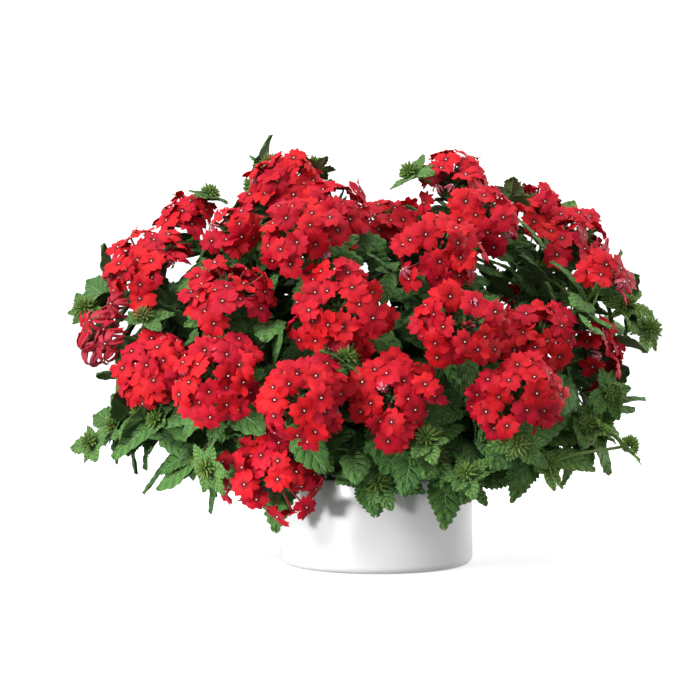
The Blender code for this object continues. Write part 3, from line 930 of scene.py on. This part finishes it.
# Green tips that have no stem of their own in the frame: where those of each shoot end, in
# millimetres
TIPS = {
    "shoot_01": [(-72, 12, 268), (-112, -4, 248)],
    "shoot_02": [(-42, 10, 267)],
    "shoot_04": [(-150, -72, 168)],
    "shoot_05": [(-108, -112, 74)],
    "shoot_06": [(-20, -126, 144)],
    "shoot_07": [(30, -124, 94)],
    "shoot_08": [(22, -12, 262)],
    "shoot_09": [(90, -22, 249), (94, 4, 214), (80, 8, 190)],
    "shoot_10": [(86, -124, 90)],
    "shoot_11": [(166, -6, 174), (184, -4, 157), (124, 18, 199), (136, 2, 183)],
    "shoot_12": [(150, -64, 118), (108, -6, 196)],
    "shoot_13": [(-152, -70, 106), (-186, -62, 86)],
    "shoot_14": [(136, -70, 98), (160, -84, 86)],
    "shoot_21": [(54, -122, 72)],
    "shoot_23": [(-192, -34, 172)],
}


def leaning(lean, spin):
    """The direction that leans so far from +Z, towards this spin round it."""
    flat = math.sin(lean)
    return Vector((flat * math.cos(spin), flat * math.sin(spin), math.cos(lean)))


def bud_blank(sides, profile):
    """(points, shape) of a small bud of length 1 along +Z, round a profile of (radius, height)."""
    rings = [
        (radius * math.cos(2 * math.pi * k / sides), radius * math.sin(2 * math.pi * k / sides), z)
        for radius, z in profile
        for k in range(sides)
    ]
    pattern = [(z, k / sides) for _, z in profile for k in range(sides)]
    return np.array(rings), shape_of(ring_faces(len(profile), sides), pattern)


def stood(blank, root, way, length, width, roll=0.0):
    """(points, shape) of a blank along +Z, sized and laid along a way from a root."""
    points, shape = blank
    turn = np.array(way.to_track_quat("Z", "Y").to_matrix() @ Matrix.Rotation(roll, 3, "Z"))
    return (points * np.array([width, width, length])) @ turn.T + np.array(root), shape


green_bud = bud_blank(4, [(0.25, 0), (0.5, 0.3), (0.42, 0.7), (0.06, 1)])


def spread(count, widest, dice, first=0.0):
    """(lean, spin) of directions spread evenly about +Z, from a first to a widest lean, in degrees."""
    top = math.cos(math.radians(first))
    low = math.cos(math.radians(widest))
    for i in range(count):
        lean = math.acos(top - (top - low) * (i + 0.5) / count)
        yield lean, i * GOLDEN_TURN + dice.uniform(-0.12, 0.12)


def add_tip(pile, end, way, dice, lit):
    """A cluster of buds with a ruff of new leaves at the end of a green stem."""
    upward = (way + 0.8 * UP).normalized()
    turn = upward.to_track_quat("Z", "Y").to_matrix()
    grown = dice.uniform(0.8, 1.1)
    for lean, spin in spread(BUDS, BUDS_LEAN, dice):
        out = turn @ leaning(lean, spin)
        size = BUD_RADIUS * grown * dice.uniform(0.75, 1.05)
        root = end + out * 0.2 * BUD_RADIUS
        tone = (dice.uniform(0.0, 0.5), dice.random(), 0)
        pile.add(*stood(green_bud, root, out, size, BUD_WIDTH), tone, STEM_GREEN)
    for i in range(RUFF):
        spin = 2 * math.pi * i / RUFF + dice.uniform(-0.3, 0.3)
        out = turn @ Vector((math.cos(spin), math.sin(spin), 0.25))
        length = dice.uniform(13, 21) * MM
        place = leaf_place(end - upward * 4 * MM, out, upward + out * 0.2)
        tone = (dice.uniform(0.6, 1.0), dice.random(), lit)
        blank = dice.choice(small_blanks)
        add_leaf(pile, blank, (place, length, dice.uniform(-0.1, 0.3), 0.3), tone)


dice = random.Random(21)
stem_finish = Finish("hairy_green_stem", Specular_IOR_Level=0.3)
flush = stem_finish.noise(60.0, 2.0)
skin = stem_finish.mix(stem_finish.tint("Red"), (0.16, 0.27, 0.055), (0.09, 0.17, 0.035))
stem_finish.wear(
    Base_Color=stem_finish.mix(stem_finish.step(flush, 0.55, 0.8), skin, (0.20, 0.13, 0.05)),
    Roughness=0.5 + 0.2 * flush,
)
stem_finish.bump(stem_finish.noise(900.0, 2.0), 0.1 * MM, 0.4)

leaf_finish = Finish("veined_leaf", Specular_IOR_Level=0.18, Sheen_Weight=0.03)
along, across = leaf_finish.pattern()
side = abs(across * 2.0 - 1.0)
phase = (along - side * VEIN_SLANT) * VEINS
between = leaf_finish.node("ShaderNodeMath", {"operation": "PINGPONG"}, {0: phase, 1: 0.5})
vein = 1.0 - leaf_finish.step(between, 0.02, 0.11)
# Painted shade: a darker band down both sides of every side vein, where the vein's groove sinks into
# the blade.
shade = 1.0 - leaf_finish.step(between, 0.08, 0.34)
rib = 1.0 - leaf_finish.step(side, 0.015, 0.07)
# The fine net of small veins is sunken in the bump, and its dark lines in the blade's colour are
# painted shade in those fine grooves.
net = leaf_finish.node(
    "ShaderNodeTexVoronoi",
    {"feature": "DISTANCE_TO_EDGE"},
    {"Vector": leaf_finish.place(), "Scale": 420.0},
)
net = leaf_finish.step(net, 0.0, 0.14)
mottle = leaf_finish.noise(55.0, 3.0)
young, own, bright = (leaf_finish.tint(channel) for channel in ("Red", "Green", "Blue"))
blade = leaf_finish.layers(
    leaf_finish.mix(own, (0.044, 0.145, 0.024), (0.115, 0.29, 0.05)),
    (young, (0.15, 0.31, 0.06)),
    (bright * 0.85, (0.30, 0.50, 0.07)),
    (leaf_finish.step(mottle, 0.35, 0.75) * 0.4, (0.12, 0.24, 0.09)),
    ((1.0 - net) * 0.22, (0.02, 0.055, 0.014)),
    (shade * 0.45, (0.022, 0.065, 0.018)),
    (vein * 0.7, (0.20, 0.36, 0.15)),
    (rib * 0.8, (0.28, 0.44, 0.18)),
)
leaf_finish.wear(Base_Color=blade, Roughness=0.56 + 0.16 * mottle)
leaf_finish.bump(net * 0.25 - vein * 0.9 - rib * 0.5 - shade * 0.4 + mottle * 0.2, 0.9 * MM, 1.0)

under_finish = Finish("leaf_underside", Specular_IOR_Level=0.25, Roughness=0.75)
under = under_finish.layers(
    under_finish.mix(under_finish.tint("Red"), (0.075, 0.135, 0.05), (0.13, 0.21, 0.075)),
    (under_finish.tint("Blue") * 0.8, (0.22, 0.34, 0.09)),
    (under_finish.noise(70.0) * 0.5, (0.09, 0.14, 0.06)),
)
under_finish.wear(Base_Color=under)
under_finish.bump(under_finish.noise(700.0, 2.0), 0.15 * MM, 0.5)

fuzz_finish = Finish("stem_hair", Base_Color=(0.42, 0.50, 0.30), Roughness=0.7)

for name, arcs in frame_stems.items():
    shoot = Pile()
    lit = BRIGHT_SHOOTS.get(name, 0.0)
    for points, tip in zip(arcs, SHOOTS[name][1]):
        add_stem(shoot, points, 1.0 if points is arcs[0] else 0.85, dice)
        if not isinstance(tip, str):
            add_tip(shoot, *stem_end(tip), dice, lit)
    for place in TIPS.get(name, []):
        end = Vector(place) * MM
        line = [p for points in arcs for p in points[1:]]
        start = min(line, key=lambda p: (p - end).length + (20 * MM if p.z > end.z else 0))
        way = (end - start).normalized()
        path = smoothed(arc(start, (way + UP * 0.2).normalized(), end, way, 12 * MM))
        thin = [0.6 * STEM_RADIUS] * len(path)
        shoot.add(*tube(path, thin, STEM_SIDES), (dice.random(), dice.random(), 0), STEM_GREEN)
        add_tip(shoot, end, way, dice, lit)
    small = list(fill[name])
    for path, rows in twigs[name]:
        thin = [TWIG_RADIUS * (1 - 0.4 * i / len(path)) for i in range(len(path))]
        shoot.add(*tube(path, thin, TWIG_SIDES), (dice.random(), dice.random(), 0), STEM_GREEN)
        small += rows
    for leaf, blanks in [(leaf, large_blanks) for leaf in leaves[name]] + [
        (leaf, small_blanks) for leaf in small
    ]:
        place, length, _, _ = leaf
        age = min(1.0, max(0.0, (0.9 * LEAF_LENGTH - length) / (0.5 * LEAF_LENGTH)))
        # The young and lime tints fade out towards the plant's middle in plan: painted shade deep
        # inside the plant.
        reach = min(1.0, place.translation.xy.length / (150 * MM)) ** 2
        tone = (age * dice.uniform(0.2, 0.8) * reach, dice.random(), lit * dice.random() * reach)
        add_leaf(shoot, dice.choice(blanks), leaf, tone)
    piece = shoot.made(f"leafy_{name}", 50)
    fitted(piece, [stem_finish, leaf_finish, under_finish, fuzz_finish], "green_leaves", name)

# The flower heads: domed clusters of five-petalled scarlet florets on slender tubes, each tube in
# a hairy green calyx, round a heart of buds that open last. The head at the left edge is wilting.

FLORET_RADIUS = 10.1 * MM
FLORET_SPACING = 12.1 * MM
FIRST_LEAN, LAST_LEAN = (15, 24), 87
FLORET_TIPPED = 0.48
FLORET_KINDS = 8
PETALS = 5
PETAL_THICKNESS = 0.03
SHELL = 0.9
LEANING = 0.6
MISSING = 0.09
FADED = 0.04
PETAL, THROAT, CALYX = range(3)
WILTING = {"head_09": 0.85}
WILTED = 0.75
EYE_SIZE = 0.6 * MM
TUBE_WIDTH = 2.2 * MM
CALYX_WIDTH = 2.1 * MM
HEART_HIGH, HEART_WIDE = 0.52, 0.46
HEART_BUDS = 46
HEART_LEAN = 80
HEART_BUD_WIDTH = 2.9 * MM
HEART_OPENING = 0.12


def petal_point(t, across, own):
    """A point of a petal of length 1 along +X: a broad wedge with a notched and wavy edge.

    It lies at the share t of the way out, and from -1 to 1 across. The petal's own shape is its
    cup, fall, wave, phase and twist.
    """
    notch = 0.22 * math.exp(-((across / 0.24) ** 2))
    reach = 1 - notch - 0.34 * abs(across) ** 2.6
    width = 0.44 * (0.13 + 0.87 * math.sin(math.pi / 2 * min(1, 1.08 * t)) ** 1.35)
    x = 0.05 + (reach - 0.05) * t
    y = across * width * (1 - 0.1 * max(0, t - 0.8) / 0.2 * abs(across))
    cup = own["cup"] * t - own["fall"] * t**2.2
    wave = own["wave"] * math.sin(3.1 * across + own["phase"]) * t**2
    crease = -0.05 * math.exp(-((across / 0.25) ** 2)) * t * (1.2 - t)
    return x, y, cup + wave + crease + own["twist"] * y * t


def floret_blank(seed, wilt=0.0):
    """(points, shape) of a floret of radius 1, facing +Z: five petals about an eye."""
    dice = random.Random(seed)
    all_points, all_spots, faces = [], [], []
    for petal in range(PETALS):
        own = {
            "cup": dice.uniform(0.1, 0.42),
            "fall": dice.uniform(0.12, 0.5) + wilt * dice.uniform(0.9, 1.5),
            "wave": dice.uniform(0.05, 0.14) * (1 + 2 * wilt),
            "phase": dice.uniform(0, 6.3),
            "twist": dice.uniform(-0.32, 0.32),
        }
        size = dice.uniform(0.92, 1.06) * (1 - 0.15 * wilt)
        bpy.ops.mesh.primitive_grid_add(x_subdivisions=3, y_subdivisions=4, size=2)
        blank = bpy.context.object
        for vertex in blank.data.vertices:
            vertex.co = petal_point((vertex.co.x + 1) / 2, vertex.co.y * (1 - 0.45 * wilt), own)
        thick = blank.modifiers.new("Thickness", "SOLIDIFY")
        thick.thickness = PETAL_THICKNESS
        thick.offset = -1
        bpy.ops.object.modifier_apply(modifier="Thickness")
        points, (corners, sizes, spots, _) = taken_from(blank)
        spin = 2 * math.pi / PETALS * petal + dice.uniform(-0.06, 0.06)
        first = sum(map(len, all_points))
        all_points.append(points * size @ np.array(Matrix.Rotation(spin, 3, "Z")).T)
        all_spots.append(spots)
        ends = np.cumsum(sizes)
        faces += [tuple(corners[b - n : b] + first) for b, n in zip(ends, sizes)]
    return np.concatenate(all_points), shape_of(faces, np.concatenate(all_spots))


bpy.ops.object.select_all(action="DESELECT")
open_florets = [floret_blank(seed) for seed in range(FLORET_KINDS)]
wilted_florets = [floret_blank(seed, WILTED) for seed in range(20, 24)]
tube_blank = bud_blank(4, [(0.3, 0), (0.42, 0.3), (0.3, 0.62), (0.36, 1)])
calyx_blank = bud_blank(5, [(0.5, 0), (0.8, 0.45), (0.62, 0.85), (0.9, 1)])
red_bud = bud_blank(6, [(0.2, 0), (0.36, 0.35), (0.42, 0.72), (0.5, 0.86), (0.3, 1)])
heart_blank = bud_blank(10, [(0.3, 0), (0.8, 0.12), (1.0, 0.4), (0.75, 0.75), (0.3, 1)])
eye_blank = bud_blank(6, [(0.9, 0), (1.0, 0.5), (0.55, 1.0)])


def add_floret(pile, blank, middle, way, roll, size, tint, inner):
    """A floret facing a way, with its tube and calyx down to the head's receptacle."""
    pile.add(*stood(blank, middle, way, size, size, roll), tint, PETAL)
    throat = middle + way * 0.2 * MM
    pile.add(*stood(eye_blank, throat, way, EYE_SIZE, EYE_SIZE), (0, 0, 1), THROAT)
    length, rising = (inner - middle).length, -(inner - middle).normalized()
    pile.add(*stood(tube_blank, inner, rising, length, TUBE_WIDTH), (0, 0, 0), THROAT)
    tone = (0.3 * tint[0], tint[2], 0)
    pile.add(*stood(calyx_blank, inner, rising, 0.5 * length, CALYX_WIDTH), tone, CALYX)


petal_finish = Finish("scarlet_petal", Specular_IOR_Level=0.13, Sheen_Weight=0.1)
petal_finish.wear(Sheen_Tint=(1.0, 0.2, 0.35), Sheen_Roughness=0.45)
along, across = petal_finish.pattern()
streak = petal_finish.node("ShaderNodeCombineXYZ", {}, {"X": along * 2.0, "Y": across * 16.0})
streak = petal_finish.noise(1.6, 3.0, streak)
fleck = petal_finish.noise(160.0, 2.0)
tone, faded = petal_finish.tint("Red"), petal_finish.tint("Green")
red = petal_finish.layers(
    petal_finish.mix(tone, (0.48, 0.004, 0.024), (0.68, 0.009, 0.012)),
    (petal_finish.step(streak, 0.4, 0.75) * 0.4, (0.33, 0.002, 0.010)),
    (petal_finish.step(fleck, 0.5, 0.8) * 0.25, (0.72, 0.02, 0.05)),
    (faded, (0.62, 0.18, 0.25)),
    # Painted shade in each floret's hollow middle: the petals darken to deep crimson towards their
    # base and to near black round the eye.
    ((1.0 - petal_finish.step(along, 0.1, 0.45)) * 0.7, (0.20, 0.001, 0.004)),
    ((1.0 - petal_finish.step(along, 0.08, 0.18)) * 0.8, (0.06, 0.0, 0.002)),
)
petal_finish.wear(Base_Color=red, Roughness=0.48 + 0.2 * streak)
petal_finish.bump(streak * 0.7 + fleck * 0.3, 0.35 * MM, 0.5)

throat_finish = Finish("floret_throat", Roughness=0.5)
pink = throat_finish.mix(throat_finish.pattern()[0], (0.16, 0.03, 0.02), (0.36, 0.01, 0.02))
pink = throat_finish.mix(throat_finish.tint("Blue"), pink, (0.80, 0.74, 0.62))
throat_finish.wear(Base_Color=pink)

calyx_finish = Finish("hairy_calyx", Roughness=0.7, Sheen_Weight=0.04, Specular_IOR_Level=0.25)
calyx = calyx_finish.mix(calyx_finish.tint("Red"), (0.030, 0.070, 0.018), (0.12, 0.22, 0.045))
calyx = calyx_finish.mix(calyx_finish.noise(120.0) * 0.35, calyx, (0.07, 0.04, 0.02))
calyx_finish.wear(Base_Color=calyx)
calyx_finish.bump(calyx_finish.noise(900.0, 2.0), 0.2 * MM, 0.6)

for number, name in enumerate(HEADS):
    centre, axis, radius = head_frame(name)
    dice = random.Random(100 + number)
    head = Pile()
    wilting = WILTING.get(name, 0.0)
    turn = axis.to_track_quat("Z", "Y").to_matrix()
    shell = SHELL * radius
    first_lean = dice.uniform(*FIRST_LEAN)
    open_cap = math.cos(math.radians(first_lean)) - math.cos(math.radians(LAST_LEAN))
    count = round(2 * math.pi * shell**2 * open_cap / (0.87 * FLORET_SPACING**2))
    lobes = dice.choice((2, 3)), dice.uniform(0, 6.3), dice.uniform(0.07, 0.14)
    for lean, spin in spread(count, LAST_LEAN, dice, first_lean):
        if dice.random() < MISSING:
            continue
        lean = lean + dice.uniform(-0.15, 0.15)
        way = turn @ leaning(lean, spin)
        lumpy = 1 + lobes[2] * math.sin(lobes[0] * spin + lobes[1]) * math.sin(lean)
        inner = centre + axis * radius * (0.42 - 0.3 * lean) + way * 1.5 * MM
        middle = centre + way * shell * lumpy * dice.uniform(0.84, 1.06)
        size = FLORET_RADIUS * dice.uniform(0.84, 1.12)
        tint = (dice.uniform(0.0, 1.0), 0.0, dice.random())
        blank = dice.choice(open_florets)
        tipped = Vector([dice.uniform(-FLORET_TIPPED, FLORET_TIPPED) for _ in range(3)])
        if dice.random() < wilting:
            blank = dice.choice(wilted_florets)
            tint = (dice.uniform(0.0, 0.5), dice.uniform(0.05, 0.35), dice.random())
            middle = middle - UP * dice.uniform(-2, 9) * MM + tipped * 8 * MM
            tipped = tipped - 0.7 * UP
        elif dice.random() < FADED:
            blank = dice.choice(wilted_florets)
            size = 0.5 * size
            tint = (0.0, dice.uniform(0.6, 1.0), dice.random())
        facing = (way * LEANING + axis * (1 - LEANING) + tipped).normalized()
        add_floret(head, blank, middle, facing, dice.uniform(0, 6.3), size, tint, inner)
    foot = centre - axis * 0.1 * radius
    core = stood(heart_blank, foot, axis, HEART_HIGH * radius, HEART_WIDE * radius)
    head.add(*core, (0, 0, 0), CALYX)
    for lean, spin in spread(HEART_BUDS, HEART_LEAN, dice):
        way = turn @ leaning(lean, spin)
        opening = lean < math.radians(45) and dice.random() < HEART_OPENING
        bud, finish = (red_bud, THROAT) if opening else (green_bud, CALYX)
        tint = (0, 0, 0) if opening else (dice.uniform(0.0, 0.9), dice.random(), 0)
        root = centre + axis * radius * (0.42 - 0.22 * lean) + way * 1 * MM
        length = dice.uniform(0.26, 0.42) * radius
        head.add(*stood(bud, root, way, length, HEART_BUD_WIDTH), tint, finish)
    piece = head.made(f"flower_{name}", 60)
    fitted(piece, [petal_finish, throat_finish, calyx_finish], "red_petals", name)

# The studio: a plain pale floor, broad soft lights and the camera at the photograph's angle.

PAPER_WHITE = {"Base_Color": (0.9, 0.9, 0.9), "Roughness": 0.9, "Emission_Color": (1.0, 1.0, 1.0)}
BACKDROP_AT = 4.5
GLOW = {"From Min": -0.6, "From Max": 0.8, "To Min": 0.13, "To Max": 0.78}
CAMERA_DISTANCE = 1.5
CAMERA_RISE = math.radians(2.5)
CAMERA_TARGET = Vector((-0.0178, 0, 0.143))
CAMERA_LENS = 114.6

bpy.ops.object.select_all(action="DESELECT")
bpy.ops.mesh.primitive_plane_add(size=24)
floor = bpy.context.object
floor.name = "floor"
ground = Finish("pale_floor", Specular_IOR_Level=0.1, Emission_Strength=0.5, **PAPER_WHITE)
floor.data.materials.append(ground.material)
bpy.ops.mesh.primitive_cylinder_add(
    vertices=64, radius=BACKDROP_AT, depth=10, end_fill_type="NOTHING", location=(0, 0, 4.9)
)
backdrop = bpy.context.object
backdrop.name = "backdrop"
paper = Finish("white_backdrop", Specular_IOR_Level=0.0, Emission_Strength=0.9, **PAPER_WHITE)
backdrop.data.materials.append(paper.material)
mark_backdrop(floor, backdrop)
floor.visible_diffuse = backdrop.visible_diffuse = False
backdrop.visible_shadow = False

world = bpy.data.worlds.new("studio")
bpy.context.scene.world = world
world.use_nodes = True
sky = world.node_tree.nodes
sky["Background"].inputs["Color"].default_value = (1, 1, 1, 1)
up = sky.new("ShaderNodeTexCoord")
split = sky.new("ShaderNodeSeparateXYZ")
glow = sky.new("ShaderNodeMapRange")
for name, value in GLOW.items():
    glow.inputs[name].default_value = value
for source, target in (
    (up.outputs["Generated"], split.inputs[0]),
    (split.outputs["Z"], glow.inputs["Value"]),
    (glow.outputs[0], sky["Background"].inputs["Strength"]),
):
    world.node_tree.links.new(source, target)


def lamp(name, kind, place, aim, power, **settings):
    """A light that stands at a place and shines at its aim."""
    data = bpy.data.lights.new(name, kind)
    data.energy = power
    for setting, value in settings.items():
        setattr(data, setting, value)
    stand = bpy.data.objects.new(name, data)
    stand.location = place
    stand.rotation_euler = (stand.location - Vector(aim)).to_track_quat("Z", "Y").to_euler()
    bpy.context.scene.collection.objects.link(stand)


lamp("key light", "AREA", (-1.3, -1.2, 0.9), (0, 0, 0.15), 30, shape="DISK", size=0.8)
lamp("top light", "AREA", (-0.1, -0.3, 1.9), (0, 0, 0.15), 13, shape="DISK", size=0.8)
lamp("side light", "AREA", (1.3, 0.6, 0.4), (0, 0, 0.08), 9, shape="DISK", size=0.6)
lamp(
    "pot light", "SPOT", (-0.92, -1.17, 0.02), (0, 0, 0.03), 105,
    spot_size=math.radians(9), spot_blend=0.5, shadow_soft_size=0.1,
)

camera = bpy.data.objects.new("camera", bpy.data.cameras.new("camera"))
bpy.context.scene.collection.objects.link(camera)
back = Vector((0, -math.cos(CAMERA_RISE), math.sin(CAMERA_RISE)))
camera.location = CAMERA_TARGET + back * CAMERA_DISTANCE
camera.rotation_euler = back.to_track_quat("Z", "Y").to_euler()
camera.data.sensor_width = 36
camera.data.lens = CAMERA_LENS
bpy.context.scene.camera = camera
bpy.context.scene.view_settings.view_transform = "Standard"

boxes = {"cad": cad_box, "visual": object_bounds()}
{k: [list(corner) for corner in box] for k, box in boxes.items()}
